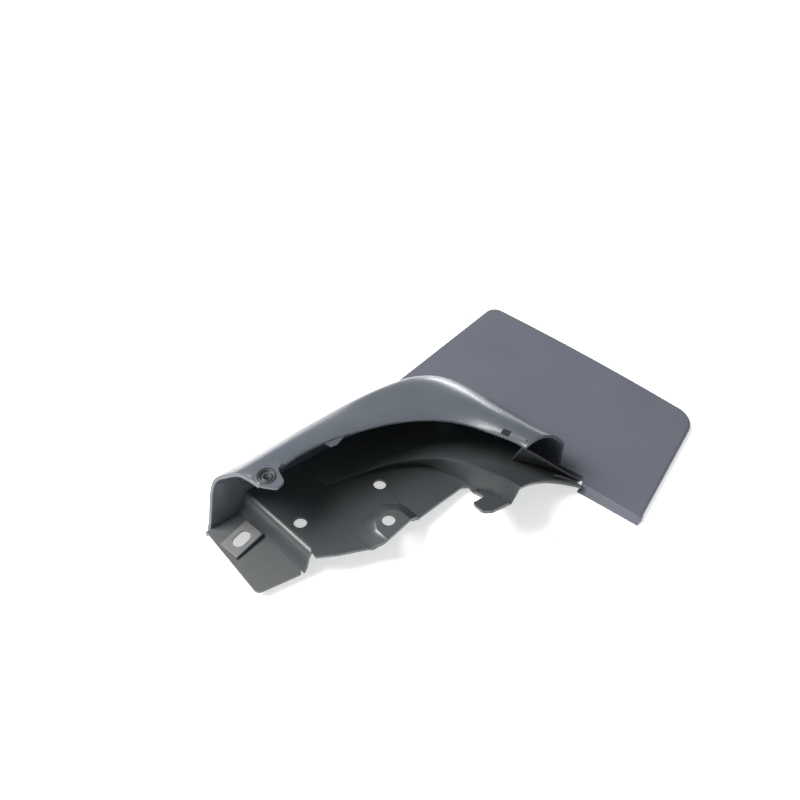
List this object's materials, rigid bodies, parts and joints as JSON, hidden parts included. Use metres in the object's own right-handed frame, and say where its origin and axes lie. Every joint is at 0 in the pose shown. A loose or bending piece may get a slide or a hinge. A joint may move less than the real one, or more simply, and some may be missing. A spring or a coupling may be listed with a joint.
{
  "type": "mud flap",
  "caption": "Moulded vehicle mud flap: a flat blade with a hollow wheel-arch wrap, a drilled mounting panel, a slotted end flange and a hooked locating tab.",
  "frame": {"origin": "middle of the footprint, on the plane the flap lies on", "axes": "+X from the mounting flange towards the free end of the flap, +Y towards the outboard edge, +Z away from the face of the flap, the way the wrap rises"},
  "size_m": [0.359, 0.2336, 0.0849],
  "materials": {
    "flap_plastic": "fine-grained satin slate-grey polypropylene",
    "wrap_plastic": "satin slate-grey polypropylene with a soft sheen on the shoulder",
    "panel_plastic": "dark slate-grey polypropylene, duller than the outer faces",
    "seat_plastic": "dark grey moulded pad, matt top with soft rounded rims",
    "eyelet_plastic": "dark grey hard plastic, slightly glossier than the moulding",
    "trim_rubber": "rough light grey sealing strip",
    "clip_foam": "near-black dense foam pad"
  },
  "bodies": {
    "root": {"flap_blade": "flap_plastic", "outer_wrap": "wrap_plastic", "mounting_panel": "panel_plastic", "ridge_web": "panel_plastic", "locating_tab": "panel_plastic", "end_gusset": "panel_plastic", "flange_seat": "seat_plastic", "boss_eyelet": "eyelet_plastic", "edge_trim": "trim_rubber", "edge_clip": "clip_foam", "web_rib": "panel_plastic"}
  },
  "joints": []
}
